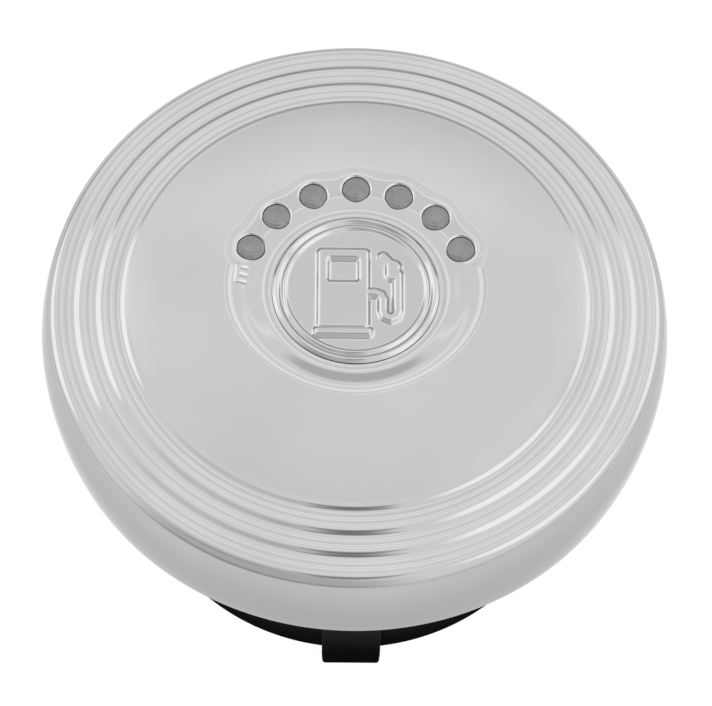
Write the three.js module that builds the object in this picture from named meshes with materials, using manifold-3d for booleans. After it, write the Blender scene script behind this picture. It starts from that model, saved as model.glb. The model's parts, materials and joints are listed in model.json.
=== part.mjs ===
// Cap-style LED fuel gauge. Millimetres, +Z up, base of the locating tabs at z = 0, gauge axis on Z.
import * as THREE from 'three';
import { mergeVertices } from 'three/addons/utils/BufferGeometryUtils.js';
import Module from 'manifold-3d';

const wasm = await Module();
wasm.setup();

// Driving dimensions
const CAP_RADIUS = 44.45;       // outer edge of the chrome cap
const TREAD_HEIGHT = 51.1;      // inner ring of the cap above the base of the tabs
const SKIRT_DROP = 16.0;        // tread down to the skirt's lower edge
const SKIRT_INSIDE = 42.5;      // inner edge of the skirt's flat lower face
const SKIRT_BULGE = [           // radius and drop down the barrel-shaped skirt, from the groove under the rings
  [44.45, 2.5], [44.8, 3.8], [45.1, 5.2], [45.33, 6.8], [45.42, 8.5],
  [45.36, 10.6], [45.18, 12.7], [44.9, 14.6], [44.66, 15.75], [44.4, 16.0],
];
const STEP_RADII = [33.6, 36.8, 39.95, 43.3];   // middle of each riser between the rings
const STEP_DROP = 0.43;
const BEAD_HEIGHT = 0.07;        // two fine beads run round each ring
const CROWN_RADIUS = 32.7;
const CROWN_EDGE = 0.45;         // height of the crown's edge above the inner tread
const CROWN_SPHERE = 100.0;
const BOWL_RISE = [              // radius and height above the bowl's floor, out to its lip
  [12.9, 0], [13.8, 0.16], [15.4, 0.74], [16.2, 1.0], [17.0, 1.22], [17.7, 1.3], [18.3, 1.255],
];
const RECESS_FLOOR = 1.3;
const SHELF_LEVEL = 3.5;         // flat shelf that joins the lens pockets
const SHELF_RADIUS = 18.7;
const SHELF_HALF_ANGLE = THREE.MathUtils.degToRad(76);
const MEDALLION_RADIUS = 11.85;
const MEDALLION_GAP = 0.2;
const LED_COUNT = 7;
const LED_CIRCLE = 16.45;
const LED_PITCH = THREE.MathUtils.degToRad(22.1);
const LED_RADIUS = 2.0;
const LED_GAP = 0.2;
const LED_SPOT_RADIUS = 2.9;
const LETTER_FLOOR = 3.4;
const HOUSING_RADIUS = 33.2;
const HOUSING_BOTTOM = 2.5;
const HOUSING_TOP = TREAD_HEIGHT - 4.9;
const TAB_WIDTH = 8.8;
const TAB_DEPTH = 3.6;
const TAB_STAND_OUT = 1.5;
const TAB_ANGLES = [-90, 30, 150].map(THREE.MathUtils.degToRad);
const BOARD_SCREW_ANGLES = [-90, 0, 180].map(THREE.MathUtils.degToRad);
const BOARD_SCREW_CIRCLE = 21.8;
const HOUSING_SCREW_ANGLES = [-30, 90, 210].map(THREE.MathUtils.degToRad);
const HOUSING_SCREW_CIRCLE = 27.2;
const COVER_SCREW_CIRCLE = 26.4;
const BOARD_TOP = TREAD_HEIGHT - 8.0;
const BOARD_THICKNESS = 1.6;
const RING_SEGMENTS = 64;

const FINISH = {
  chrome: { color: 0xd4d6d8, roughness: 0.12, metalness: 1.0 },
  lens: { color: 0x5c5e62, roughness: 0.1, metalness: 0.0 },
  housing: { color: 0x141415, roughness: 0.55, metalness: 0.0 },
  holder: { color: 0x26272a, roughness: 0.6, metalness: 0.0 },
  board: { color: 0x14532d, roughness: 0.5, metalness: 0.0 },
  chip: { color: 0x18191b, roughness: 0.45, metalness: 0.0 },
  capacitor: { color: 0x23335c, roughness: 0.4, metalness: 0.1 },
  terminal: { color: 0x2c6b3f, roughness: 0.5, metalness: 0.0 },
  steel: { color: 0xa9acb0, roughness: 0.3, metalness: 1.0 },
  rubber: { color: 0x101011, roughness: 0.9, metalness: 0.0 },
};

// Solid helpers
function toSolid(geometry) {
  const bare = geometry.index ? geometry.toNonIndexed() : geometry.clone();
  bare.deleteAttribute('normal');
  bare.deleteAttribute('uv');
  const merged = mergeVertices(bare, 1e-4);
  const corners = merged.index.array;
  const kept = [];
  for (let i = 0; i < corners.length; i += 3) {
    const [a, b, c] = [corners[i], corners[i + 1], corners[i + 2]];
    if (a !== b && b !== c && c !== a) {
      kept.push(a, b, c);
    }
  }
  const positions = merged.attributes.position.array;
  if (signedVolume(positions, kept) < 0) {
    kept.reverse();
  }
  const mesh = new wasm.Mesh({
    numProp: 3,
    vertProperties: Float32Array.from(positions),
    triVerts: Uint32Array.from(kept),
  });
  return new wasm.Manifold(mesh);
}

function signedVolume(positions, corners) {
  const [a, b, c] = [new THREE.Vector3(), new THREE.Vector3(), new THREE.Vector3()];
  let sum = 0;
  for (let i = 0; i < corners.length; i += 3) {
    a.fromArray(positions, corners[i] * 3);
    b.fromArray(positions, corners[i + 1] * 3);
    c.fromArray(positions, corners[i + 2] * 3);
    sum += a.dot(b.cross(c));
  }
  return sum;
}

function toGeometry(solid) {
  const mesh = solid.getMesh();
  const geometry = new THREE.BufferGeometry();
  geometry.setAttribute('position', new THREE.BufferAttribute(mesh.vertProperties, 3));
  geometry.setIndex(new THREE.BufferAttribute(mesh.triVerts, 1));
  return geometry;
}

function turned(profile, segments = RING_SEGMENTS) {
  const points = profile.map(([radius, z]) => new THREE.Vector2(radius, z));
  return toSolid(new THREE.LatheGeometry(points, segments).rotateX(Math.PI / 2));
}

function closedRing(profile, segments = RING_SEGMENTS) {
  return turned([...profile, profile[0]], segments);
}

function cylinder(radius, low, high, x = 0, y = 0, segments = 16) {
  const height = high - low;
  const geometry = new THREE.CylinderGeometry(radius, radius, height, segments);
  return toSolid(geometry.rotateX(Math.PI / 2).translate(x, y, low + height / 2));
}

function box(low, high, turn = 0) {
  const size = low.map((value, i) => high[i] - value);
  const geometry = new THREE.BoxGeometry(...size);
  geometry.translate(...low.map((value, i) => value + size[i] / 2));
  return toSolid(geometry.rotateZ(turn));
}

function prism(outline, low, high, holes = []) {
  const shape = new THREE.Shape(outline.map(([x, y]) => new THREE.Vector2(x, y)));
  for (const hole of holes) {
    shape.holes.push(new THREE.Path(hole.map(([x, y]) => new THREE.Vector2(x, y))));
  }
  const options = { depth: high - low, bevelEnabled: false };
  return toSolid(new THREE.ExtrudeGeometry(shape, options).translate(0, 0, low));
}

function onCircle(radius, angle) {
  return [radius * Math.cos(angle), radius * Math.sin(angle)];
}

function addAll(first, others) {
  return others.reduce((sum, solid) => sum.add(solid), first);
}

function cutAll(first, others) {
  return others.reduce((rest, solid) => rest.subtract(solid), first);
}

function part(name, solid, finish) {
  const mesh = new THREE.Mesh(toGeometry(solid), new THREE.MeshStandardMaterial(FINISH[finish]));
  mesh.name = name;
  return mesh;
}

function ledAngle(index) {
  return Math.PI / 2 + (Math.floor(LED_COUNT / 2) - index) * LED_PITCH;
}

function ledCentre(index) {
  return onCircle(LED_CIRCLE, ledAngle(index));
}

const ledIndices = Array.from({ length: LED_COUNT }, (_, index) => index);

// Height of the crowned face above the inner tread
function crownHeight(radius) {
  return CROWN_EDGE + (CROWN_RADIUS ** 2 - radius ** 2) / (2 * CROWN_SPHERE);
}

// Floor of the bowl, from the height of its lip where it meets the crown
const [BOWL_RADIUS, BOWL_DEPTH] = BOWL_RISE.at(-1);
const BOWL_FLOOR = crownHeight(BOWL_RADIUS) - BOWL_DEPTH;

// One ring: foot of its riser, two fine beads with a valley between them, outer edge
function ringProfile(step) {
  const inner = STEP_RADII[step];
  const outer = STEP_RADII[step + 1];
  const height = -STEP_DROP * step;
  return [
    [inner + 0.5, height],
    [inner + 1.15, height + BEAD_HEIGHT],
    [inner + 1.6, height],
    [inner + 2.05, height + BEAD_HEIGHT],
    [outer - 0.5, height],
  ];
}

function capProfile() {
  const face = [
    [0, RECESS_FLOOR],
    [MEDALLION_RADIUS + MEDALLION_GAP, RECESS_FLOOR],
    [MEDALLION_RADIUS + MEDALLION_GAP, BOWL_FLOOR],
    ...BOWL_RISE.map(([r, rise]) => [r, BOWL_FLOOR + rise]),
    [20.4, crownHeight(20.4)],
    [24.5, crownHeight(24.5)],
    [28.8, crownHeight(28.8)],
    [CROWN_RADIUS, crownHeight(CROWN_RADIUS)],
  ];
  const rings = [0, 1, 2].flatMap(ringProfile);
  const edge = [
    [CAP_RADIUS - 0.85, -1.12],
    [CAP_RADIUS - 0.4, -1.6],
    [CAP_RADIUS - 0.1, -2.0],
    [CAP_RADIUS - 0.22, -2.25],
    ...SKIRT_BULGE.map(([r, drop]) => [r, -drop]),
  ];
  const inside = [
    [SKIRT_INSIDE, -SKIRT_DROP],
    [42.6, -6.2],
    [41.6, -4.6],
    [30.4, -4.6],
    [30.4, -2.0],
    [0, -2.0],
  ];
  return [...face, ...rings, ...edge, ...inside].map(([r, z]) => [r, z + TREAD_HEIGHT]);
}

// Chrome cap: turned shell, lens pockets and holes, engraved letter, screw bosses underneath
function capShell() {
  const z = TREAD_HEIGHT;
  const boardBosses = BOARD_SCREW_ANGLES.map((angle) => {
    return cylinder(2.1, z - 7.7, z - 1.9, ...onCircle(BOARD_SCREW_CIRCLE, angle), 12);
  });
  const housingBosses = HOUSING_SCREW_ANGLES.map((angle) => {
    return cylinder(3.0, z - 5.7, z - 1.9, ...onCircle(HOUSING_SCREW_CIRCLE, angle), 16);
  });
  const cuts = [
    ...ledIndices.map((i) => cylinder(LED_SPOT_RADIUS, z + SHELF_LEVEL, z + 6, ...ledCentre(i), 20)),
    prism(sectorOutline(MEDALLION_RADIUS, SHELF_RADIUS, SHELF_HALF_ANGLE), z + SHELF_LEVEL, z + 6),
    ...ledIndices.map((i) => cylinder(LED_RADIUS + LED_GAP, z - 3, z + 5, ...ledCentre(i), 20)),
    ...BOARD_SCREW_ANGLES.map((angle) => {
      return cylinder(1.3, z - 8, z - 3.4, ...onCircle(BOARD_SCREW_CIRCLE, angle), 10);
    }),
    ...HOUSING_SCREW_ANGLES.map((angle) => {
      return cylinder(1.8, z - 6, z - 0.6, ...onCircle(HOUSING_SCREW_CIRCLE, angle), 10);
    }),
    ...letterCuts(),
  ];
  return cutAll(addAll(turned(capProfile()), [...boardBosses, ...housingBosses]), cuts);
}

// Engraved letter E at the empty end of the arc of lenses: one spine and three arms
function letterCuts() {
  const spine = [[-0.95, -1.4], [-0.45, 1.4]];
  const arms = [-1.4, -0.25, 0.9].map((low) => [[-0.95, low], [0.95, low + 0.5]]);
  const [x, y] = onCircle(16.4, THREE.MathUtils.degToRad(172));
  const floor = TREAD_HEIGHT + LETTER_FLOOR;
  return [spine, ...arms].map(([low, high]) => {
    const bar = box([...low, floor], [...high, floor + 2]);
    return bar.rotate([0, 0, -9]).translate([x, y, 0]);
  });
}

// Outline of a ring sector centred on +Y
function sectorOutline(inner, outer, halfAngle, steps = 18) {
  const angles = Array.from({ length: steps + 1 }, (_, i) => {
    return Math.PI / 2 - halfAngle + (2 * halfAngle * i) / steps;
  });
  const outside = angles.map((angle) => onCircle(outer, angle));
  const inside = angles.map((angle) => onCircle(inner, angle)).reverse();
  return [...outside, ...inside];
}

// Polygon of constant width along an open polyline
function stroke(points, width) {
  const sides = [[], []];
  points.forEach((point, i) => {
    const before = points[Math.max(i - 1, 0)];
    const after = points[Math.min(i + 1, points.length - 1)];
    const length = Math.hypot(after[0] - before[0], after[1] - before[1]);
    const normal = [-(after[1] - before[1]) / length, (after[0] - before[0]) / length];
    sides[0].push([point[0] + normal[0] * width / 2, point[1] + normal[1] * width / 2]);
    sides[1].push([point[0] - normal[0] * width / 2, point[1] - normal[1] * width / 2]);
  });
  return [...sides[0], ...sides[1].reverse()];
}

// Medallion: beaded rim, flat field and a raised fuel-pump sign
function medallion() {
  const z = TREAD_HEIGHT;
  const face = z + BOWL_FLOOR;
  const disc = turned([
    [0, z + RECESS_FLOOR + 0.3],
    [MEDALLION_RADIUS - 0.2, z + RECESS_FLOOR + 0.3],
    [MEDALLION_RADIUS, z + RECESS_FLOOR + 0.5],
    [MEDALLION_RADIUS, face],
    [11.35, face + 0.4],
    [10.75, face + 0.1],
    [10.25, face + 0.3],
    [9.7, face],
    [0, face],
  ], 48);
  const body = [[-5.2, -6.2], [1.8, -6.2], [1.8, 5.6], [1.2, 6.2], [-4.6, 6.2], [-5.2, 5.6]];
  const window = [[-3.8, 1.2], [0.4, 1.2], [0.4, 4.7], [-3.8, 4.7]];
  const foot = [[-6.2, -7.2], [2.8, -7.2], [2.8, -6.0], [-6.2, -6.0]];
  const hose = [
    [1.6, -0.6], [3.0, -0.6], [3.7, -1.4], [3.8, -3.6],
    [4.6, -4.6], [5.6, -3.6], [5.8, 2.4], [3.6, 5.2],
  ];
  const low = face - 0.2;
  const high = face + 0.6;
  return addAll(disc, [
    prism(body, low, high, [window]),
    prism(foot, low, high),
    prism(stroke(hose, 1.2), low, high),
  ]);
}

// LED: domed lens body with foot flange and two legs that pass through the board
function led(index) {
  const z = TREAD_HEIGHT;
  const body = turned([
    [0, SHELF_LEVEL + 0.35],
    [0.85, SHELF_LEVEL + 0.27],
    [1.5, SHELF_LEVEL + 0.05],
    [LED_RADIUS, SHELF_LEVEL - 0.45],
    [LED_RADIUS, -4.4],
    [2.4, -4.4],
    [2.4, -5.4],
    [0, -5.4],
  ].map(([r, height]) => [r, height + z]), 20);
  const legs = [-1.27, 1.27].map((x) => {
    return box([x - 0.25, -0.25, BOARD_TOP - 2.8], [x + 0.25, 0.25, z - 5.2]);
  });
  return addAll(body, legs).translate([...ledCentre(index), 0]);
}

// Spacer that lines up the lens bodies under the cap
function ledHolder() {
  const z = TREAD_HEIGHT;
  const ring = closedRing([[13.2, z - 4.1], [19.3, z - 4.1], [19.3, z - 2.3], [13.2, z - 2.3]], 48);
  return cutAll(ring, ledIndices.map((i) => {
    return cylinder(LED_RADIUS + LED_GAP, z - 5, z - 1, ...ledCentre(i), 20);
  }));
}

function circuitBoard() {
  const low = BOARD_TOP - BOARD_THICKNESS;
  const legHoles = ledIndices.flatMap((i) => [-1.27, 1.27].map((x) => {
    const [cx, cy] = ledCentre(i);
    return box([cx + x - 0.55, cy - 0.55, low - 1], [cx + x + 0.55, cy + 0.55, BOARD_TOP + 1]);
  }));
  const screwHoles = BOARD_SCREW_ANGLES.map((angle) => {
    return cylinder(1.35, low - 1, BOARD_TOP + 1, ...onCircle(BOARD_SCREW_CIRCLE, angle), 10);
  });
  return cutAll(cylinder(24, low, BOARD_TOP, 0, 0, 48), [...legHoles, ...screwHoles]);
}

// Screw standing head down: shank, then a pan head below the joint
function screw(radius, headRadius, seat, length, headHeight) {
  return turned([
    [0, seat + length],
    [radius * 0.7, seat + length],
    [radius, seat + length - radius * 0.5],
    [radius, seat],
    [headRadius, seat],
    [headRadius * 0.85, seat - headHeight],
    [0, seat - headHeight],
  ], 12);
}

function screwSet(prefix, maker, circle, angles) {
  return angles.map((angle, i) => {
    const solid = maker().translate([...onCircle(circle, angle), 0]);
    return part(`${prefix}_${i + 1}`, solid, 'steel');
  });
}

// Black lower housing: open tube, inner ears for the cap screws, posts for the cover screws, locating tabs
function gaugeHousing() {
  const tube = closedRing([
    [HOUSING_RADIUS - 0.4, HOUSING_BOTTOM],
    [HOUSING_RADIUS, HOUSING_BOTTOM + 0.4],
    [HOUSING_RADIUS, HOUSING_TOP],
    [HOUSING_RADIUS - 2.4, HOUSING_TOP],
    [HOUSING_RADIUS - 2.4, HOUSING_BOTTOM],
  ]);
  const ears = HOUSING_SCREW_ANGLES.map((angle) => {
    return box([24.4, -3.6, HOUSING_TOP - 3.6], [32, 3.6, HOUSING_TOP - 1.1], angle);
  });
  const posts = HOUSING_SCREW_ANGLES.map((angle) => {
    return box([23.4, -3.2, HOUSING_BOTTOM + 3.3], [32, 3.2, HOUSING_BOTTOM + 13], angle);
  });
  const tabs = TAB_ANGLES.map(locatingTab);
  const earHoles = HOUSING_SCREW_ANGLES.map((angle) => {
    return cylinder(1.8, HOUSING_TOP - 5, HOUSING_TOP, ...onCircle(HOUSING_SCREW_CIRCLE, angle), 10);
  });
  const postHoles = HOUSING_SCREW_ANGLES.map((angle) => {
    const [x, y] = onCircle(COVER_SCREW_CIRCLE, angle);
    return cylinder(1.5, HOUSING_BOTTOM, HOUSING_BOTTOM + 11.4, x, y, 10);
  });
  return cutAll(addAll(tube, [...ears, ...posts, ...tabs]), [...earHoles, ...postHoles]);
}

// Rib up the side of the housing that ends in a slightly tapered tab below it
function locatingTab(angle) {
  const half = TAB_WIDTH / 2;
  const outline = [
    [-half + 0.5, 0],
    [half - 0.5, 0],
    [half - 0.3, 0.3],
    [half, HOUSING_BOTTOM],
    [half, HOUSING_TOP - 8],
    [-half, HOUSING_TOP - 8],
    [-half, HOUSING_BOTTOM],
    [-half + 0.3, 0.3],
  ];
  const upright = prism(outline, 0, TAB_DEPTH).rotate([90, 0, 90]);
  const turn = THREE.MathUtils.radToDeg(angle);
  return upright.translate([HOUSING_RADIUS + TAB_STAND_OUT - TAB_DEPTH, 0, 0]).rotate([0, 0, turn]);
}

function baseCover() {
  const low = HOUSING_BOTTOM + 0.5;
  const high = HOUSING_BOTTOM + 3.0;
  const disc = cylinder(HOUSING_RADIUS - 2.7, low, high, 0, 0, 48);
  const holes = HOUSING_SCREW_ANGLES.map((angle) => {
    return cylinder(1.8, low - 1, high + 1, ...onCircle(COVER_SCREW_CIRCLE, angle), 10);
  });
  return cutAll(disc, [cylinder(5.2, low - 1, high + 1, 0, 0, 24), ...holes]);
}

function wireGrommet() {
  const low = HOUSING_BOTTOM + 0.5;
  return closedRing([
    [2.5, low - 1.8],
    [6.4, low - 1.8],
    [6.8, low - 0.3],
    [4.9, low - 0.3],
    [4.9, low + 2.8],
    [6.8, low + 2.8],
    [6.4, low + 4.3],
    [2.5, low + 4.3],
  ], 24);
}

function seatGasket() {
  const z = TREAD_HEIGHT;
  return closedRing([[35.4, z - 6.9], [41.2, z - 6.9], [41.2, z - 4.9], [35.4, z - 4.9]], 48);
}

// Board components hang below the board
function boardParts() {
  const under = BOARD_TOP - BOARD_THICKNESS - 0.3;
  const resistors = ledIndices.map((i) => {
    const [x, y] = onCircle(9.6, ledAngle(i));
    const solid = box([x - 0.8, y - 0.45, under - 0.5], [x + 0.8, y + 0.45, under]);
    return part(`resistor_${i + 1}`, solid, 'chip');
  });
  return [
    part('controller_chip', box([-5, -8.5, under - 1.6], [5, -2.5, under]), 'chip'),
    part('voltage_regulator', box([8.5, -9.5, under - 1.8], [15, -6, under]), 'chip'),
    part('capacitor_1', cylinder(3.1, under - 7.7, under, -11.5, -5.5, 20), 'capacitor'),
    part('capacitor_2', cylinder(2.5, under - 6, under, 12, 0.5, 20), 'capacitor'),
    part('wire_terminal', box([-5.5, -18, under - 8], [5.5, -11, under]), 'terminal'),
    ...resistors,
  ];
}

// Screws, each set on its own circle
function screws() {
  const boardSeat = BOARD_TOP - BOARD_THICKNESS - 0.3;
  const earSeat = HOUSING_TOP - 3.9;
  const coverSeat = HOUSING_BOTTOM + 0.2;
  const boardScrew = () => screw(1.0, 1.9, boardSeat, 5.6, 1.3);
  const housingScrew = () => screw(1.5, 2.75, earSeat, 7.4, 1.8);
  const coverScrew = () => screw(1.2, 2.5, coverSeat, 10.4, 1.6);
  return [
    ...screwSet('board_screw', boardScrew, BOARD_SCREW_CIRCLE, BOARD_SCREW_ANGLES),
    ...screwSet('housing_screw', housingScrew, HOUSING_SCREW_CIRCLE, HOUSING_SCREW_ANGLES),
    ...screwSet('cover_screw', coverScrew, COVER_SCREW_CIRCLE, HOUSING_SCREW_ANGLES),
  ];
}

const gauge = new THREE.Group();
gauge.name = 'led_fuel_gauge';
gauge.add(
  part('cap_shell', capShell(), 'chrome'),
  part('medallion', medallion(), 'chrome'),
  ...ledIndices.map((i) => part(`led_${i + 1}`, led(i), 'lens')),
  part('led_holder', ledHolder(), 'holder'),
  part('circuit_board', circuitBoard(), 'board'),
  ...boardParts(),
  ...screws(),
  part('gauge_housing', gaugeHousing(), 'housing'),
  part('base_cover', baseCover(), 'housing'),
  part('wire_grommet', wireGrommet(), 'rubber'),
  part('seat_gasket', seatGasket(), 'rubber'),
);

export default gauge;
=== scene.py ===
import json
import math

import bpy
from mathutils import Matrix, Vector
from mathutils.geometry import delaunay_2d_cdt

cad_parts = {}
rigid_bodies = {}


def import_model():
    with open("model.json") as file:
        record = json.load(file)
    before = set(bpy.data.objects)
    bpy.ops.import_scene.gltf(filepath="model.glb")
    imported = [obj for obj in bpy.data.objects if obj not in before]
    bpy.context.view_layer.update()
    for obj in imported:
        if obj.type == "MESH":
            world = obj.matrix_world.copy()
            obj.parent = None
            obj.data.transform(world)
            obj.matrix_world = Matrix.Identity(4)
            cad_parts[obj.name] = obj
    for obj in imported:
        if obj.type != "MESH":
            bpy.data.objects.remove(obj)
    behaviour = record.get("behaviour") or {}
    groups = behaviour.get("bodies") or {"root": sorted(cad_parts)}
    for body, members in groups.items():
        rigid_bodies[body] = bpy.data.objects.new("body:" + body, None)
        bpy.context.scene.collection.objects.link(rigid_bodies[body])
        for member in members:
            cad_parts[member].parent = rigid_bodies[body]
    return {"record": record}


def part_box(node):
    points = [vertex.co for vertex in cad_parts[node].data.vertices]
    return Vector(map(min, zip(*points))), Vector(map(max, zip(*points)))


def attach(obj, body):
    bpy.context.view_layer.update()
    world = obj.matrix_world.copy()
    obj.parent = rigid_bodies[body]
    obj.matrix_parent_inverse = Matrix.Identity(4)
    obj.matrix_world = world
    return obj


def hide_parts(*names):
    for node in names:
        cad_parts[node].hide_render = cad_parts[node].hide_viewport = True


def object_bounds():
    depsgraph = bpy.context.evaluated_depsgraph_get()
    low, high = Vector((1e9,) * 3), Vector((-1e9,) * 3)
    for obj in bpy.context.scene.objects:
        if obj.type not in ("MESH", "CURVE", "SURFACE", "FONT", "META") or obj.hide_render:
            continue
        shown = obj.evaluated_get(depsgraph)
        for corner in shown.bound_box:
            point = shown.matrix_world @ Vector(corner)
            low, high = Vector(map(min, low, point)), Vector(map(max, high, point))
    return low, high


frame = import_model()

CAD_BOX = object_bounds()
MM = 0.001

# Sizes shared with the CAD model
SKIRT_DROP = 16.0
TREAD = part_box("cap_shell")[0][2] / MM + SKIRT_DROP
SKIRT_RADIUS = (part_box("cap_shell")[1][0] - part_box("cap_shell")[0][0]) / 2 / MM
SKIRT_WIDEST = 8.5              # drop of the barrel's widest line
SKIRT_CURVES = (0.0265, 0.0133)  # how fast the barrel narrows above and below that line
SKIRT_INSIDE = 42.5
SKIRT_LIP = 0.35                # height of the skirt's rounded lower edge
INSIDE_LEDGE = ((42.6, -6.2), (41.6, -4.6), (30.4, -4.6))   # radius and height, inside the skirt
CAP_RADIUS = 44.45
SHOULDER_EDGE = CAP_RADIUS - 0.1
CROWN_RADIUS = 32.7
CROWN_SPHERE = 100.0
CROWN_EDGE = 0.45
RECESS_FLOOR = 1.3
RECESS_RADIUS = 11.97
RECESS_BEVEL = 0.3
MEDALLION_RADIUS = 11.92
FIELD_RADIUS = 9.6              # flat field inside the medallion's beads
SIGN_SCALE = 1.05
LED_COUNT = 7
LED_CIRCLE = 16.45
LED_PITCH = math.radians(22.1)
LED_RADIUS = 2.0
LED_HOLE = 2.04
LED_BEVEL = 2.25                # outer radius of the bevel round each lens hole
LED_BOTTOM = -5.4
UNDERSIDE = -2.0
HOUSING_RADIUS = 33.2
HOUSING_WALL = 2.4
HOUSING_BOTTOM = 2.5 - TREAD
HOUSING_TOP = -4.9
TAB_WIDTH = 8.8
TAB_REACH = 1.5                 # how far a tab stands out from the housing
TAB_ROOT = 2.1                  # how far it goes into the housing's wall
TAB_TOP = HOUSING_TOP - 8
TAB_ANGLES = [math.radians(a) for a in (-90, 30, 150)]

# Fine shape of the chrome cap
RISER_CENTRES = (33.62, 36.82, 39.95)
RISER_WIDTHS = (1.15, 1.15, 1.15)
TREAD_HEIGHTS = (0.0, -0.43, -0.86)
SHOULDER_START = 42.85
SHOULDER_DROP = 1.14
GROOVE_TOP = 2.25
GROOVE_FOOT = 2.5
BEAD_RADII = (34.8, 35.75, 37.8, 38.78, 40.88, 41.92)
BEAD_HEIGHT = 0.024
BEAD_SIGMA = 0.17
BOWL_SLOPES = (                 # radius and slope along the bowl's side
    (12.9, 0.0), (13.7, 0.47), (14.9, 0.47), (16.6, 0.16), (17.4, 0.03), (17.55, -0.176),
)
BOWL_WIDENING = 1.2
SHELF_HALF_WIDTH = 2.0
SPOT_RADIUS = 2.75
SHELF_LEVEL = 3.5
PATCH_RADIUS = 21.0             # triangles inside this radius, turned rings outside it
SEGMENTS = 192
LED_SEGMENTS = 48
FINE_STEP = 0.13
PROFILE_START = 32.3            # where the turned profile changes to its fine step
PROFILE_STEP = 0.09
LED_RINGS = (LED_HOLE, 2.1, 2.15, 2.19, 2.23, 2.27, 2.31, 2.36, 2.45, 2.6, 2.8)
LED_RINGS_END = 2.85            # grid points start outside this distance from a lens

LED_ANGLES = [math.pi / 2 + (LED_COUNT // 2 - i) * LED_PITCH for i in range(LED_COUNT)]
LED_CENTRES = [(LED_CIRCLE * math.cos(a), LED_CIRCLE * math.sin(a)) for a in LED_ANGLES]
LETTER_RADIUS = 16.4
LETTER_ANGLE = math.radians(173.2)
LETTER_CENTRE = (LETTER_RADIUS * math.cos(LETTER_ANGLE), LETTER_RADIUS * math.sin(LETTER_ANGLE))
LETTER_TURN = math.radians(-4)
LETTER_DEPTH = 0.16

# Camera: azimuth turn and roll in degrees, distance and aim in cap radii, lens for a 36 mm sensor
CAMERA_TURN = -1.21
CAMERA_ELEVATION = 60.8
CAMERA_DISTANCE = 11.0
CAMERA_AIM = (0.0061, -0.1953)
CAMERA_ROLL = -1.6
CAMERA_LENS = 172.56


# Small maths
def clamp(value, low=0.0, high=1.0):
    return max(low, min(high, value))


def smoothstep(value):
    value = clamp(value)
    return value * value * (3 - 2 * value)


def soft_min(a, b, width):
    mix = clamp(0.5 + 0.5 * (b - a) / width)
    return b + (a - b) * mix - width * mix * (1 - mix)


def soft_ramp(distance, width):
    """Zero where the distance is negative, twice the distance where it is positive, with a soft bend."""
    return distance + math.hypot(distance, width)


def slope_at(function, value, step):
    return (function(value + step) - function(value - step)) / (2 * step)


def box_distance(x, y, low, high):
    dx = max(low[0] - x, x - high[0])
    dy = max(low[1] - y, y - high[1])
    return math.hypot(max(dx, 0), max(dy, 0)) + min(max(dx, dy), 0)


def segment_distance(x, y, start, end):
    ex, ey = end[0] - start[0], end[1] - start[1]
    t = clamp(((x - start[0]) * ex + (y - start[1]) * ey) / (ex * ex + ey * ey))
    return math.hypot(x - start[0] - ex * t, y - start[1] - ey * t)


def nearest_led(x, y):
    return min(math.hypot(x - cx, y - cy) for cx, cy in LED_CENTRES)


# Height of the chrome face
def crown(r):
    return CROWN_EDGE + (CROWN_RADIUS ** 2 - r ** 2) / (2 * CROWN_SPHERE)


def bowl_rise(r):
    """Height above the bowl's floor: a cove, a wall and a rounded lip, from the slopes at their ends."""
    rise = 0.0
    for (r0, slope0), (r1, slope1) in zip(BOWL_SLOPES, BOWL_SLOPES[1:]):
        run = clamp(r - r0, 0, r1 - r0)
        rise += slope0 * run + (slope1 - slope0) * run ** 2 / (2 * (r1 - r0))
    return rise


BOWL_EDGE = BOWL_SLOPES[-1][0]
BOWL_FLOOR = crown(BOWL_EDGE) - bowl_rise(BOWL_EDGE)


def dish(x, y):
    """Crown with the bowl sunk in it: wider to the sides, and shallower where the lens shelf runs."""
    r = math.hypot(x, y)
    widening = BOWL_WIDENING * (x / r) ** 4
    reach = r - widening * smoothstep((r - 13.0) / 3.0)
    if reach > BOWL_EDGE:
        return crown(r)
    depth = (crown(BOWL_EDGE + widening) - BOWL_FLOOR) / bowl_rise(BOWL_EDGE)
    easing = 0.25 * smoothstep(y / r) * (1 - smoothstep((r - 14.9) / 2.5))
    return BOWL_FLOOR + bowl_rise(reach) * (depth - easing)


def ring_height(r):
    """Crown, risers, treads with their fine beads, and the rounded shoulder."""
    level = crown(r)
    for centre, width, tread in zip(RISER_CENTRES, RISER_WIDTHS, TREAD_HEIGHTS):
        blend = smoothstep((r - centre) / width + 0.5)
        level += (tread - level) * blend
    beads = sum(math.exp(-((r - bead) / BEAD_SIGMA) ** 2) for bead in BEAD_RADII)
    shoulder = clamp((r - SHOULDER_START) / (SHOULDER_EDGE - SHOULDER_START))
    return level + BEAD_HEIGHT * beads - SHOULDER_DROP * shoulder ** 2


def skirt_radius(drop):
    """Barrel shape of the skirt, at a depth below the inner tread."""
    curve = SKIRT_CURVES[0] if drop < SKIRT_WIDEST else SKIRT_CURVES[1]
    return SKIRT_RADIUS - curve * (drop - SKIRT_WIDEST) ** 2


def skirt_side(steps=24):
    """Profile points of the skirt's outside, each with its normal."""
    profile = []
    for i in range(steps + 1):
        drop = GROOVE_FOOT + (SKIRT_DROP - SKIRT_LIP - GROOVE_FOOT) * i / steps
        slope = slope_at(skirt_radius, drop, 0.01)
        length = math.hypot(1, slope)
        profile.append((skirt_radius(drop), -drop, 1 / length, slope / length))
    return profile


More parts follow.
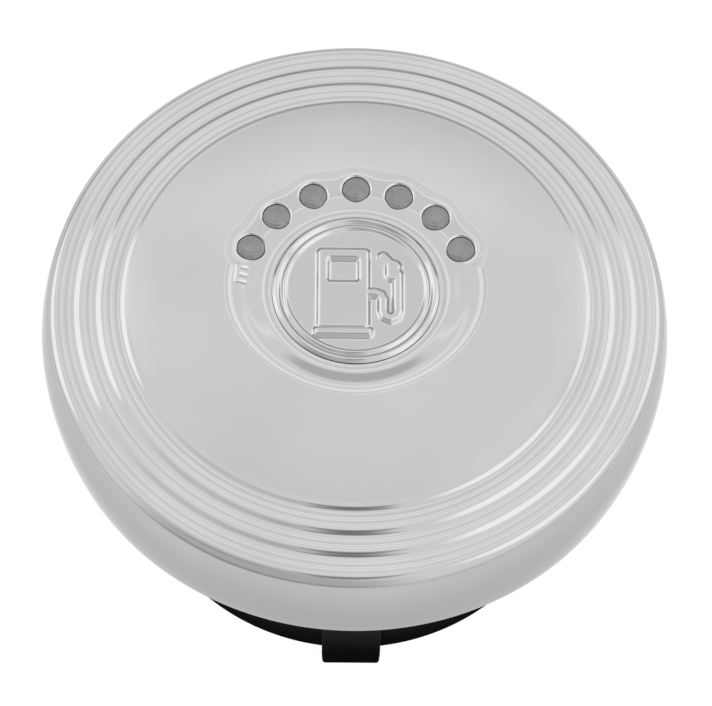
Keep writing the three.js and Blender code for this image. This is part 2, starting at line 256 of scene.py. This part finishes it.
def shelf_distance(x, y):
    """Distance to the scalloped edge of the shelf that joins the lenses, negative on the shelf."""
    end = LED_PITCH * (LED_COUNT // 2)
    angle = clamp(math.atan2(x, y), -end, end)
    centre = (LED_CIRCLE * math.sin(angle), LED_CIRCLE * math.cos(angle))
    distance = math.hypot(x - centre[0], y - centre[1]) - SHELF_HALF_WIDTH
    for cx, cy in LED_CENTRES:
        spot = math.hypot(x - cx, y - cy) - SPOT_RADIUS
        if spot < distance + 1.2:
            distance = soft_min(distance, spot, 1.0)
    return distance


def letter_distance(x, y):
    dx, dy = x - LETTER_CENTRE[0], y - LETTER_CENTRE[1]
    c, s = math.cos(-LETTER_TURN), math.sin(-LETTER_TURN)
    u, v = c * dx - s * dy, s * dx + c * dy
    bars = [((-0.9, -1.35), (-0.5, 1.35))]
    bars += [((-0.9, low), (0.9, low + 0.4)) for low in (-1.35, -0.2, 0.95)]
    return min(box_distance(u, v, low, high) for low, high in bars)


def face_height(x, y):
    r = math.hypot(x, y)
    shelf = shelf_distance(x, y)
    wall = SHELF_LEVEL + 0.2 * soft_ramp(shelf, 0.3)
    z = dish(x, y)
    z = soft_min(z, wall, 0.12) if y > 0 or shelf > 0 else z
    z -= 0.35 * soft_ramp(LED_BEVEL - nearest_led(x, y), 0.06)
    z -= 0.12 * soft_ramp(RECESS_RADIUS + RECESS_BEVEL - r, 0.1)
    if x < -10 and -4 < y < 8:
        z -= LETTER_DEPTH * smoothstep(0.5 - letter_distance(x, y) / 0.5)
    return z


# Height of the medallion: two beads round a flat field with a raised fuel-pump sign
def pump_distance(x, y):
    x, y = x / SIGN_SCALE, y / SIGN_SCALE
    body = box_distance(x, y, (-4.6, -5.6), (1.2, 5.6)) - 0.6
    window = box_distance(x, y, (-3.4, 1.5), (0.0, 4.3)) - 0.35
    foot = box_distance(x, y, (-5.2, -6.9), (1.8, -6.4)) - 0.4
    hose = [
        (1.8, -0.6), (2.7, -0.6), (3.4, -0.9), (3.7, -1.6), (3.7, -3.4), (3.95, -4.2),
        (4.7, -4.55), (5.45, -4.2), (5.7, -3.4), (5.7, 2.3), (5.3, 3.3), (3.7, 5.1),
    ]
    pipe = min(segment_distance(x, y, a, b) for a, b in zip(hose, hose[1:])) - 0.62
    nozzle = segment_distance(x, y, (5.1, 3.5), (5.1, 2.2)) - 1.0
    return SIGN_SCALE * min(max(body, -window), foot, pipe, nozzle)


def bead(r, inner, outer, height):
    t = (r - inner) / (outer - inner)
    return height * math.sin(math.pi * t) ** 1.5 if 0 < t < 1 else 0.0


def medallion_height(x, y):
    r = math.hypot(x, y)
    z = BOWL_FLOOR + 0.05 + bead(r, 10.7, 12.0, 0.4) + bead(r, 9.7, 10.7, 0.3)
    if r < FIELD_RADIUS:
        z += 0.6 * smoothstep(0.5 - pump_distance(x, y) / 0.9)
    return z


# Mesh building: vertices that share a place are shared, and each carries its own normal
class Builder:
    def __init__(self):
        self.points = []
        self.normals = []
        self.faces = []
        self.index = {}

    def vertex(self, place, normal):
        key = tuple(round(c, 4) for c in place)
        if key not in self.index:
            self.index[key] = len(self.points)
            self.points.append(place)
            self.normals.append(normal)
        return self.index[key]

    def face(self, corners):
        unique = [c for i, c in enumerate(corners) if c != corners[i - 1]]
        if len(unique) > 2:
            self.faces.append(unique)

    def lathe(self, profile, segments=SEGMENTS, centre=(0.0, 0.0)):
        """Turns a profile about an upright axis: radius, height, and the same two of its normal."""
        rings = []
        for r, z, nr, nz in profile:
            ring = []
            for k in range(segments):
                c, s = math.cos(2 * math.pi * k / segments), math.sin(2 * math.pi * k / segments)
                place = (centre[0] + r * c, centre[1] + r * s, z)
                ring.append(self.vertex(place, (nr * c, nr * s, nz)))
            rings.append(ring)
        for inner, outer in zip(rings, rings[1:]):
            for k in range(segments):
                n = (k + 1) % segments
                self.face([inner[k], outer[k], outer[n], inner[n]])

    def surface(self, points, loops, height, keep, flip=False):
        """Triangles over points and closed loops in plan, lifted to a height, where keep says so."""
        edges = []
        for loop in loops:
            start = len(points)
            points = points + loop
            edges += [(start + i, start + (i + 1) % len(loop)) for i in range(len(loop))]
        flat = [Vector(p) for p in points]
        verts, _, triangles, *_ = delaunay_2d_cdt(flat, edges, [], 0, 1e-5)
        ids = []
        for v in verts:
            normal = slope_normal(height, v.x, v.y, flip)
            ids.append(self.vertex((v.x, v.y, height(v.x, v.y)), normal))
        for triangle in triangles:
            cx = sum(verts[i].x for i in triangle) / 3
            cy = sum(verts[i].y for i in triangle) / 3
            if keep(cx, cy):
                corners = [ids[i] for i in triangle]
                self.face(corners[::-1] if flip else corners)


def slope_normal(height, x, y, flip=False):
    step = 0.01
    dx = (height(x + step, y) - height(x - step, y)) / (2 * step)
    dy = (height(x, y + step) - height(x, y - step)) / (2 * step)
    normal = Vector((-dx, -dy, 1)).normalized()
    return tuple(-normal) if flip else tuple(normal)


def build(name, builder, material, slot, *replaced):
    mesh = bpy.data.meshes.new(name)
    places = [(x * MM, y * MM, (z + TREAD) * MM) for x, y, z in builder.points]
    mesh.from_pydata(places, [], builder.faces)
    mesh.polygons.foreach_set("use_smooth", [True] * len(mesh.polygons))
    mesh.normals_split_custom_set_from_vertices(builder.normals)
    mesh.materials.append(material)
    piece = bpy.data.objects.new(name, mesh)
    bpy.context.scene.collection.objects.link(piece)
    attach(piece, "root")
    if replaced:
        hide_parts(*replaced)


def circle(radius, count, centre=(0.0, 0.0)):
    turns = [2 * math.pi * k / count for k in range(count)]
    return [(centre[0] + radius * math.cos(t), centre[1] + radius * math.sin(t)) for t in turns]


def rounded(corners, radius, steps=5):
    """Profile points (r, z, normal r, normal z) along straight runs with filleted corners.

    The profile runs so that the outside lies to its left.
    """
    def heading(a, b):
        length = math.hypot(b[0] - a[0], b[1] - a[1])
        return (b[0] - a[0]) / length, (b[1] - a[1]) / length

    first = heading(corners[0], corners[1])
    profile = [(*corners[0], -first[1], first[0])]
    for before, corner, after in zip(corners, corners[1:], corners[2:]):
        inward, outward = heading(before, corner), heading(corner, after)
        start = math.atan2(inward[1], inward[0])
        turn = math.atan2(outward[1], outward[0]) - start
        turn = (turn + math.pi) % (2 * math.pi) - math.pi
        reach = radius * abs(math.tan(turn / 2))
        bend = radius if turn > 0 else -radius
        begin = (corner[0] - inward[0] * reach, corner[1] - inward[1] * reach)
        hub = (begin[0] - inward[1] * bend, begin[1] + inward[0] * bend)
        for i in range(steps + 1):
            angle = start + turn * i / steps
            normal = (-math.sin(angle), math.cos(angle))
            profile.append((hub[0] - normal[0] * bend, hub[1] - normal[1] * bend, *normal))
    last = heading(corners[-2], corners[-1])
    profile.append((*corners[-1], -last[1], last[0]))
    return profile


# Chrome cap
def face_profile():
    radii = [PATCH_RADIUS + 0.6 * i for i in range(19)]
    fine = int((SHOULDER_EDGE - PROFILE_START) / PROFILE_STEP)
    radii += [PROFILE_START + PROFILE_STEP * i for i in range(fine)]
    radii += [SHOULDER_EDGE - 0.01]
    profile = []
    for r in radii:
        slope = slope_at(ring_height, r, 0.005)
        length = math.hypot(1, slope)
        profile.append((r, ring_height(r), -slope / length, 1 / length))
    return profile


def skirt_profile():
    groove = [
        (SHOULDER_EDGE, ring_height(SHOULDER_EDGE) - 0.02, 1, 0),
        (SHOULDER_EDGE - 0.12, -GROOVE_TOP, 1, 0),
    ]
    corners = [
        (skirt_radius(SKIRT_DROP - SKIRT_LIP), -SKIRT_DROP + SKIRT_LIP),
        (skirt_radius(SKIRT_DROP), -SKIRT_DROP),
        (SKIRT_INSIDE, -SKIRT_DROP),
        *INSIDE_LEDGE,
        (INSIDE_LEDGE[-1][0], UNDERSIDE),
        (PATCH_RADIUS, UNDERSIDE),
    ]
    return groove + skirt_side() + rounded(corners, 0.25, 5)


def grid_points():
    """Points of the bowl: dense along the lens shelf's wall and the letter, sparse elsewhere."""
    points = []
    rings = int((PATCH_RADIUS - RECESS_RADIUS) / FINE_STEP)
    for i in range(1, rings):
        r = RECESS_RADIUS + i * FINE_STEP
        count = int(2 * math.pi * r / FINE_STEP / 4) * 4
        for k in range(count):
            angle = 2 * math.pi * k / count
            x, y = r * math.cos(angle), r * math.sin(angle)
            if nearest_led(x, y) < LED_RINGS_END:
                continue
            near_wall = -0.5 < shelf_distance(x, y) < 0.8 and r > LED_CIRCLE - 3
            near_letter = math.hypot(x - LETTER_CENTRE[0], y - LETTER_CENTRE[1]) < 2.2
            near_edge = i <= 2
            near_lip = 16.6 < r < 19.8 and k % 4 == 0
            sparse = i % 3 == 0 and k % 4 == 0
            if near_wall or near_letter or near_edge or near_lip or sparse:
                points.append((x, y))
    return points


def on_face(x, y):
    return nearest_led(x, y) > LED_HOLE and RECESS_RADIUS < math.hypot(x, y) < PATCH_RADIUS


def on_underside(x, y):
    return nearest_led(x, y) > LED_HOLE and math.hypot(x, y) < PATCH_RADIUS


def led_rings(radii):
    return [circle(r, LED_SEGMENTS, centre) for centre in LED_CENTRES for r in radii]


def make_cap(material):
    cap = Builder()
    cap.lathe(face_profile() + skirt_profile())
    loops = [circle(PATCH_RADIUS, SEGMENTS), circle(RECESS_RADIUS, SEGMENTS)]
    loops += led_rings(LED_RINGS)
    cap.surface(grid_points(), loops, face_height, on_face)
    edge = face_height(0, -RECESS_RADIUS)
    recess = [
        (0.0, RECESS_FLOOR, 0, 1),
        (RECESS_RADIUS - 0.1, RECESS_FLOOR, 0, 1),
        (RECESS_RADIUS, RECESS_FLOOR + 0.1, -1, 0),
        (RECESS_RADIUS, edge - 0.06, -1, 0),
        (RECESS_RADIUS, edge, -0.7, 0.7),
    ]
    cap.lathe(recess)
    under = [circle(PATCH_RADIUS, SEGMENTS)] + led_rings((LED_HOLE,))
    spread = [(x * 4.0, y * 4.0) for x in range(-5, 6) for y in range(-5, 6)]
    inside = [p for p in spread if math.hypot(*p) < 20]
    cap.surface(inside, under, lambda x, y: UNDERSIDE, on_underside, flip=True)
    for centre in LED_CENTRES:
        hole_wall(cap, centre)
    build("cap_fine", cap, material, "chrome_cap", "cap_shell")


def hole_wall(cap, centre):
    """Wall of one lens hole, from the face down to the underside."""
    columns = []
    for x, y in circle(LED_HOLE, LED_SEGMENTS, centre):
        normal = ((centre[0] - x) / LED_HOLE, (centre[1] - y) / LED_HOLE, 0)
        top = face_height(x, y)
        heights = (top, top - 0.05, UNDERSIDE + 0.05, UNDERSIDE)
        columns.append([cap.vertex((x, y, z), normal) for z in heights])
    for left, right in zip(columns, columns[1:] + columns[:1]):
        for i in range(len(left) - 1):
            cap.face([left[i], right[i], right[i + 1], left[i + 1]])


# Medallion
def make_medallion(material):
    medal = Builder()
    points = []
    reach = math.ceil(FIELD_RADIUS / FINE_STEP)
    for i in range(-reach, reach + 1):
        for k in range(-reach, reach + 1):
            x, y = i * FINE_STEP, k * FINE_STEP
            r = math.hypot(x, y)
            near_sign = r < FIELD_RADIUS and abs(pump_distance(x, y)) < 0.6
            if near_sign or (r < 9.5 and i % 4 == 0 and k % 4 == 0):
                points.append((x, y))
    rings = [FIELD_RADIUS + 0.12 * i for i in range(20)]
    loops = [circle(r, SEGMENTS) for r in rings + [MEDALLION_RADIUS]]
    medal.surface(points, loops, medallion_height, on_medallion)
    edge = medallion_height(MEDALLION_RADIUS, 0)
    medal.lathe([
        (MEDALLION_RADIUS, edge, 0.7, 0.7),
        (MEDALLION_RADIUS, edge - 0.08, 1, 0),
        (MEDALLION_RADIUS, RECESS_FLOOR + 0.5, 1, 0),
        (MEDALLION_RADIUS - 0.2, RECESS_FLOOR + 0.3, 0, -1),
        (0.0, RECESS_FLOOR + 0.3, 0, -1),
    ])
    build("medallion_fine", medal, material, "chrome_medallion", "medallion")


def on_medallion(x, y):
    return math.hypot(x, y) < MEDALLION_RADIUS


# Lenses: domed tinted body, with the bright cup and chip that show through it
def dome_profile(radius, top, shoulder, bottom, steps=28):
    """Domed lens whose normals carry the faint rings of its moulding."""
    height = top - shoulder
    profile = []
    for i in range(steps + 1):
        angle = math.pi / 2 * i / steps
        nr, nz = math.sin(angle) / radius, math.cos(angle) / height
        length = math.hypot(nr, nz)
        ripple = 0.32 * math.sin(2 * math.pi * radius * math.sin(angle) / 0.5)
        place = (radius * math.sin(angle), shoulder + height * math.cos(angle))
        profile.append((*place, nr / length + ripple, nz / length))
    profile += [(radius, bottom + 0.2, 1, 0), (radius - 0.2, bottom, 0, -1), (0.0, bottom, 0, -1)]
    return profile


def make_led(index, lens, cup, chip):
    centre = LED_CENTRES[index]
    body = Builder()
    dome = dome_profile(LED_RADIUS, SHELF_LEVEL + 0.35, SHELF_LEVEL - 0.45, LED_BOTTOM)
    body.lathe(dome, LED_SEGMENTS, centre)
    build(f"lens_{index + 1}", body, lens, "lens", f"led_{index + 1}")
    inner = Builder()
    inner.lathe([
        (0.0, 0.9, 0, 1),
        (0.55, 0.9, 0, 1),
        (0.95, 1.55, -0.7, 0.7),
        (1.0, 1.6, 0, 1),
        (1.1, 1.5, 1, 0),
        (1.1, -4.9, 1, 0),
        (0.0, -4.9, 0, -1),
    ], 32, centre)
    build(f"lens_{index + 1}_cup", inner, cup, "lens")
    die = Builder()
    die.lathe([(0.0, 1.35, 0, 1), (0.16, 1.35, 0, 1), (0.2, 1.3, 1, 0), (0.2, 0.95, 1, 0)], 4, centre)
    build(f"lens_{index + 1}_chip", die, chip, "lens")


# Black housing with its three locating tabs
def make_housing(material):
    body = Builder()
    corners = [
        (HOUSING_RADIUS - HOUSING_WALL / 2, HOUSING_TOP),
        (HOUSING_RADIUS, HOUSING_TOP),
        (HOUSING_RADIUS, HOUSING_BOTTOM),
        (HOUSING_RADIUS - HOUSING_WALL, HOUSING_BOTTOM),
        (HOUSING_RADIUS - HOUSING_WALL, HOUSING_TOP),
        (HOUSING_RADIUS - HOUSING_WALL / 2, HOUSING_TOP),
    ]
    body.lathe(rounded(corners, 0.35, 4))
    for angle in TAB_ANGLES:
        add_tab(body, angle)
    build("housing_fine", body, material, "housing", "gauge_housing")


def add_tab(body, angle):
    """One locating tab: rounded cross-section, slightly narrower towards its lower end."""
    low, high = -TREAD, TAB_TOP
    sections = [(low, 0.94, 0.35), (low + 0.15, 0.965, 0.12), (low + 0.4, 0.98, 0.0)]
    sections += [(HOUSING_BOTTOM, 1.0, 0.0), (high - 0.3, 1.0, 0.0), (high, 0.98, 0.3)]
    rings = []
    for z, scale, inset in sections:
        half = TAB_WIDTH / 2 * scale - inset * 0.3
        front = HOUSING_RADIUS + TAB_REACH - inset
        ring = []
        for (u, v), (nu, nv) in tab_outline(half, HOUSING_RADIUS - TAB_ROOT + inset, front):
            nz = -0.7 if z == low else (0.7 if z == high else 0.0)
            place = turned((u, v), angle) + (z,)
            ring.append(body.vertex(place, turned((nu, nv), angle) + (nz,)))
        rings.append(ring)
    for lower, upper in zip(rings, rings[1:]):
        for k in range(len(lower)):
            n = (k + 1) % len(lower)
            body.face([lower[k], lower[n], upper[n], upper[k]])
    body.face(rings[0][::-1])
    body.face(rings[-1])


def turned(place, angle):
    c, s = math.cos(angle), math.sin(angle)
    return (place[0] * c - place[1] * s, place[0] * s + place[1] * c)


def tab_outline(half, back, front, radius=0.5, steps=4):
    """Rounded rectangle as points with their normals, starting at the front's right corner."""
    outline = []
    corners = [(front, -half), (front, half), (back, half), (back, -half)]
    for (u, v), start in zip(corners, (-90, 0, 90, 180)):
        hub = (u - math.copysign(radius, u - (front + back) / 2), v - math.copysign(radius, v))
        for i in range(steps + 1):
            angle = math.radians(start + 90 * i / steps)
            normal = (math.cos(angle), math.sin(angle))
            outline.append(((hub[0] + normal[0] * radius, hub[1] + normal[1] * radius), normal))
    return outline


# Materials
NOISE_SPREAD = (0.3, 0.7)       # range of a noise that is used
SPUN_START = (0.0186, 0.0205)   # radii in metres over which the turned sheen comes in
SPUN_END = (0.0322, 0.0328)     # and goes out again
# Painted shade: the darker colour that the chrome skirt fades to at its foot
SKIRT_FOOT_PAINTED_SHADE = (0.28, 0.283, 0.286)
# Painted shade: the near-black that the housing fades to at its bottom
HOUSING_FOOT_PAINTED_SHADE = (0.0008, 0.0008, 0.0008)


def new_material(name, **inputs):
    material = bpy.data.materials.new(name)
    material.use_nodes = True
    shader = material.node_tree.nodes["Principled BSDF"]
    for key, value in inputs.items():
        shader.inputs[key.replace("_", " ")].default_value = value
    return material, material.node_tree, shader


def link_noise(tree, scale, detail=3.0):
    coordinates = tree.nodes.new("ShaderNodeTexCoord")
    noise = tree.nodes.new("ShaderNodeTexNoise")
    noise.inputs["Scale"].default_value = scale
    noise.inputs["Detail"].default_value = detail
    tree.links.new(coordinates.outputs["Object"], noise.inputs["Vector"])
    return noise


def map_range(tree, value, from_low, from_high, to_low, to_high, smooth=True):
    node = tree.nodes.new("ShaderNodeMapRange")
    node.interpolation_type = "SMOOTHSTEP" if smooth else "LINEAR"
    limits = {"From Min": from_low, "From Max": from_high, "To Min": to_low, "To Max": to_high}
    for key, number in limits.items():
        node.inputs[key].default_value = number
    tree.links.new(value, node.inputs["Value"])
    return node.outputs["Result"]


def combine(tree, operation, a, b):
    node = tree.nodes.new("ShaderNodeMath")
    node.operation = operation
    for socket, value in zip(node.inputs, (a, b)):
        if isinstance(value, (int, float)):
            socket.default_value = value
        else:
            tree.links.new(value, socket)
    return node.outputs["Value"]


def object_axes(tree):
    """Outputs X, Y and Z of the object's own coordinates."""
    coordinates = tree.nodes.new("ShaderNodeTexCoord")
    split = tree.nodes.new("ShaderNodeSeparateXYZ")
    tree.links.new(coordinates.outputs["Object"], split.inputs["Vector"])
    return split.outputs


def vary(tree, source, target, low, high):
    """Number that wanders between two values with a noise."""
    tree.links.new(map_range(tree, source, *NOISE_SPREAD, low, high, smooth=False), target)


def vary_colour(tree, source, target, low, high):
    ramp = tree.nodes.new("ShaderNodeValToRGB")
    for element, position, colour in zip(ramp.color_ramp.elements, NOISE_SPREAD, (low, high)):
        element.position = position
        element.color = (*colour, 1)
    tree.links.new(source, ramp.inputs["Fac"])
    tree.links.new(ramp.outputs["Color"], target)


def bump(tree, shader, height, distance, strength):
    node = tree.nodes.new("ShaderNodeBump")
    node.inputs["Distance"].default_value = distance
    node.inputs["Strength"].default_value = strength
    tree.links.new(height, node.inputs["Height"])
    tree.links.new(node.outputs["Normal"], shader.inputs["Normal"])


def chrome(name, low, high, rough_low, rough_high):
    material, tree, shader = new_material(name, Metallic=1.0)
    cloud = link_noise(tree, 60)
    vary_colour(tree, cloud.outputs["Fac"], shader.inputs["Base Color"], low, high)
    vary(tree, cloud.outputs["Fac"], shader.inputs["Roughness"], rough_low, rough_high)
    return material


def spun_chrome():
    """Polished chrome with a finely turned sheen on its crown, and painted shade that darkens it towards
    the skirt's foot, a dark reflection put into its colour.
    """
    material = chrome("cap_chrome", (0.45, 0.455, 0.46), (0.48, 0.485, 0.49), 0.04, 0.07)
    tree = material.node_tree
    shader = tree.nodes["Principled BSDF"]
    polished = shader.inputs["Roughness"].links[0].from_socket
    axes = object_axes(tree)
    squares = [combine(tree, "MULTIPLY", axes[axis], axes[axis]) for axis in ("X", "Y")]
    radius = combine(tree, "SQRT", combine(tree, "ADD", *squares), 0)
    inner = map_range(tree, radius, *SPUN_START, 0, 1)
    outer = map_range(tree, radius, *SPUN_END, 1, 0)
    turned_zone = combine(tree, "MULTIPLY", inner, outer)
    rough = combine(tree, "MULTIPLY", turned_zone, 0.2)
    # Painted shade: the base colour darkens from the groove's foot down to the skirt's lower edge,
    # standing in for a dark reflection there
    low, high = (TREAD - SKIRT_DROP) * MM, (TREAD - GROOVE_FOOT) * MM
    rise = map_range(tree, axes["Z"], low, high, 0, 1, smooth=False)
    plating = shader.inputs["Base Color"].links[0].from_socket
    mix_colour(tree, shader, rise, SKIRT_FOOT_PAINTED_SHADE, plating)
    shader.inputs["Specular Tint"].default_value = (0.88, 0.88, 0.88, 1)
    tree.links.new(combine(tree, "ADD", polished, rough), shader.inputs["Roughness"])
    tangent = tree.nodes.new("ShaderNodeTangent")
    tangent.direction_type = "RADIAL"
    tangent.axis = "Z"
    tree.links.new(tangent.outputs["Tangent"], shader.inputs["Tangent"])
    shader.inputs["Anisotropic"].default_value = 0.5
    return material


def plastic(name, low, high, roughness, grain=900, depth=0.00002):
    material, tree, shader = new_material(name)
    mottle = link_noise(tree, 150)
    vary_colour(tree, mottle.outputs["Fac"], shader.inputs["Base Color"], low, high)
    vary(tree, mottle.outputs["Fac"], shader.inputs["Roughness"], roughness - 0.05, roughness + 0.05)
    pits = link_noise(tree, grain, 2.0)
    bump(tree, shader, pits.outputs["Fac"], depth, 0.5)
    return material


def mix_colour(tree, shader, factor, low, high):
    """Base colour that goes from one colour to another socket's colour."""
    mix = tree.nodes.new("ShaderNodeMix")
    mix.data_type = "RGBA"
    share, first, second, result = mix.inputs[0], mix.inputs[6], mix.inputs[7], mix.outputs[2]
    first.default_value = (*low, 1)
    tree.links.new(factor, share)
    tree.links.new(high, second)
    tree.links.new(result, shader.inputs["Base Color"])


def painted_shade_black():
    """Black moulded plastic, with painted shade that darkens it towards its bottom, so it is a little
    greyer towards the cap.
    """
    material = plastic("black_moulding", (0.016, 0.017, 0.017), (0.020, 0.021, 0.021), 0.5)
    tree = material.node_tree
    shader = tree.nodes["Principled BSDF"]
    mottle = shader.inputs["Base Color"].links[0].from_socket
    # Painted shade: the colour goes darker towards the housing's bottom
    height = map_range(tree, object_axes(tree)["Z"], 0.003, 0.017, 0, 1)
    mix_colour(tree, shader, height, HOUSING_FOOT_PAINTED_SHADE, mottle)
    shader.inputs["IOR"].default_value = 1.03
    return material


def steel():
    material, tree, shader = new_material("zinc_plated_steel", Metallic=1.0)
    cloud = link_noise(tree, 400)
    low, high = (0.5, 0.51, 0.53), (0.66, 0.67, 0.68)
    vary_colour(tree, cloud.outputs["Fac"], shader.inputs["Base Color"], low, high)
    vary(tree, cloud.outputs["Fac"], shader.inputs["Roughness"], 0.22, 0.38)
    return material


def smoky_lens():
    material, tree, shader = new_material("smoky_lens", IOR=1.5)
    shader.inputs["Transmission Weight"].default_value = 0.45
    shader.inputs["Specular IOR Level"].default_value = 0.8
    haze = link_noise(tree, 500)
    low, high = (0.29, 0.29, 0.295), (0.36, 0.36, 0.365)
    vary_colour(tree, haze.outputs["Fac"], shader.inputs["Base Color"], low, high)
    vary(tree, haze.outputs["Fac"], shader.inputs["Roughness"], 0.06, 0.1)
    return material


# Studio: a nearly white floor in a bright tent, with lighter and darker panels that the chrome mirrors
# Panels of the tent: azimuth, elevation, angular radius and edge softness in degrees, brightness change.
# The last two lie where level surfaces mirror when they are seen from the camera.
PANELS = [
    (-24, 44, 20, 6, 0.52),
    (25, 24, 20, 6, 0.46),
    (153, 25, 20, 3, 0.54),
    (216, 50, 17, 8, -0.22),
    (262, 62, 12, 6, -0.20),
    (270, 67, 9.5, 2, -0.50),
    (270, 54, 8, 3, -0.38),
    (245, 16, 34, 12, -0.45),
    (90, 60.8, 13, 3, 0.30),
    (90, 60.8, 5, 3, -0.39),
]
# Bands of elevation at the back of the tent: limits and edge softness in degrees, brightness change
BACK_BANDS = [(34, 41, 3, 0.20), (-4, 21, 5, -0.42)]
TENT_GLOW = (0.95, 1.25)        # brightness at the horizon and higher up
FLOOR_REACH = 3                 # metres from the middle to each side


def direction(azimuth, elevation):
    a, e = math.radians(azimuth), math.radians(elevation)
    return (math.cos(e) * math.cos(a), math.cos(e) * math.sin(a), math.sin(e))


def round_panel(tree, ray, azimuth, elevation, radius, edge, amount):
    node = tree.nodes.new("ShaderNodeVectorMath")
    node.operation = "DOT_PRODUCT"
    node.inputs[1].default_value = direction(azimuth, elevation)
    tree.links.new(ray, node.inputs[0])
    far, near = math.cos(math.radians(radius + edge)), math.cos(math.radians(radius - edge))
    return map_range(tree, node.outputs["Value"], far, near, 0, amount)


def back_band(tree, split, low, high, edge, amount):
    height = split.outputs["Z"]
    low, high, edge = math.radians(low), math.radians(high), math.radians(edge)
    above = map_range(tree, height, math.sin(low - edge), math.sin(low + edge), 0, 1)
    below = map_range(tree, height, math.sin(high - edge), math.sin(high + edge), 1, 0)
    behind = map_range(tree, split.outputs["Y"], 0.52, 0.78, 0, amount)
    return combine(tree, "MULTIPLY", combine(tree, "MULTIPLY", above, below), behind)


def make_world():
    world = bpy.data.worlds.new("tent")
    bpy.context.scene.world = world
    world.use_nodes = True
    tree = world.node_tree
    ray = tree.nodes.new("ShaderNodeTexCoord").outputs["Generated"]
    split = tree.nodes.new("ShaderNodeSeparateXYZ")
    tree.links.new(ray, split.inputs["Vector"])
    total = map_range(tree, split.outputs["Z"], 0.0, 0.2, *TENT_GLOW)
    for panel in PANELS:
        total = combine(tree, "ADD", round_panel(tree, ray, *panel), total)
    for band in BACK_BANDS:
        total = combine(tree, "ADD", back_band(tree, split, *band), total)
    tree.links.new(total, tree.nodes["Background"].inputs["Strength"])
    tree.nodes["Background"].inputs["Color"].default_value = (1.0, 1.0, 1.0, 1)


def make_floor():
    mesh = bpy.data.meshes.new("floor")
    corners = [(-FLOOR_REACH, -FLOOR_REACH, 0), (FLOOR_REACH, -FLOOR_REACH, 0)]
    corners += [(FLOOR_REACH, FLOOR_REACH, 0), (-FLOOR_REACH, FLOOR_REACH, 0)]
    mesh.from_pydata(corners, [], [(0, 1, 2, 3)])
    floor = bpy.data.objects.new("floor", mesh)
    floor.location.z = CAD_BOX[0][2] - 0.0001
    bpy.context.scene.collection.objects.link(floor)
    material, _, shader = new_material("pale_floor", Roughness=0.9)
    shader.inputs["Base Color"].default_value = (0.06, 0.06, 0.06, 1)
    shader.inputs["Emission Color"].default_value = (1, 1, 1, 1)
    shader.inputs["Emission Strength"].default_value = 0.97
    mesh.materials.append(material)


def make_camera():
    radius = CAP_RADIUS * MM
    turn = Matrix.Rotation(math.radians(CAMERA_TURN), 3, "Z")
    origin = Vector((0, 0, TREAD * MM))
    elevation = math.radians(CAMERA_ELEVATION)
    place = Vector((0, -math.cos(elevation), math.sin(elevation))) * CAMERA_DISTANCE * radius
    target = Vector((CAMERA_AIM[0] * radius, CAMERA_AIM[1] * radius, 0))
    forward = (turn @ (target - place)).normalized()
    right = forward.cross(Vector((0, 0, 1))).normalized()
    right = Matrix.Rotation(math.radians(CAMERA_ROLL), 3, forward) @ right
    up = right.cross(forward)
    data = bpy.data.cameras.new("camera")
    data.sensor_width = 36
    data.lens = CAMERA_LENS
    camera = bpy.data.objects.new("camera", data)
    rotation = Matrix((right, up, -forward)).transposed()
    camera.matrix_world = Matrix.Translation(origin + turn @ place) @ rotation.to_4x4()
    bpy.context.scene.collection.objects.link(camera)
    bpy.context.scene.camera = camera


def dress_cad_nodes(black):
    """Materials for the CAD nodes that keep their own shape."""
    rubber = plastic("black_rubber", (0.016, 0.016, 0.016), (0.03, 0.03, 0.03), 0.8, 1500)
    dark = plastic("dark_moulding", (0.03, 0.03, 0.034), (0.045, 0.045, 0.05), 0.55)
    board = plastic("green_solder_mask", (0.015, 0.10, 0.04), (0.02, 0.13, 0.055), 0.35)
    chip = plastic("chip_epoxy", (0.02, 0.02, 0.022), (0.03, 0.03, 0.033), 0.45)
    sleeve = plastic("blue_sleeve", (0.02, 0.04, 0.16), (0.03, 0.055, 0.2), 0.3)
    terminal = plastic("green_terminal", (0.02, 0.14, 0.05), (0.03, 0.18, 0.07), 0.4)
    screw = steel()
    by_slot = {
        "housing": black, "rubber": rubber, "holder": dark, "board": board,
        "chip": chip, "capacitor": sleeve, "terminal": terminal, "steel": screw,
    }
    for entry in frame["record"]["subparts"]:
        material = by_slot.get(entry["material_slot"])
        if material:
            piece = bpy.data.objects[entry["node"]]
            piece.data.materials.clear()
            piece.data.materials.append(material)


make_camera()
make_world()
make_floor()
bpy.context.scene.view_settings.view_transform = "Standard"
black_plastic = painted_shade_black()
dress_cad_nodes(black_plastic)
make_cap(spun_chrome())
make_medallion(chrome("medallion_chrome", (0.45, 0.455, 0.46), (0.49, 0.495, 0.50), 0.05, 0.09))
lens_glass = smoky_lens()
cup_metal = chrome("cup_metal", (0.5, 0.5, 0.5), (0.6, 0.6, 0.6), 0.3, 0.4)
chip_yellow = plastic("chip_yellow", (0.75, 0.75, 0.66), (0.85, 0.85, 0.76), 0.5)
for led_index in range(LED_COUNT):
    make_led(led_index, lens_glass, cup_metal, chip_yellow)
make_housing(black_plastic)
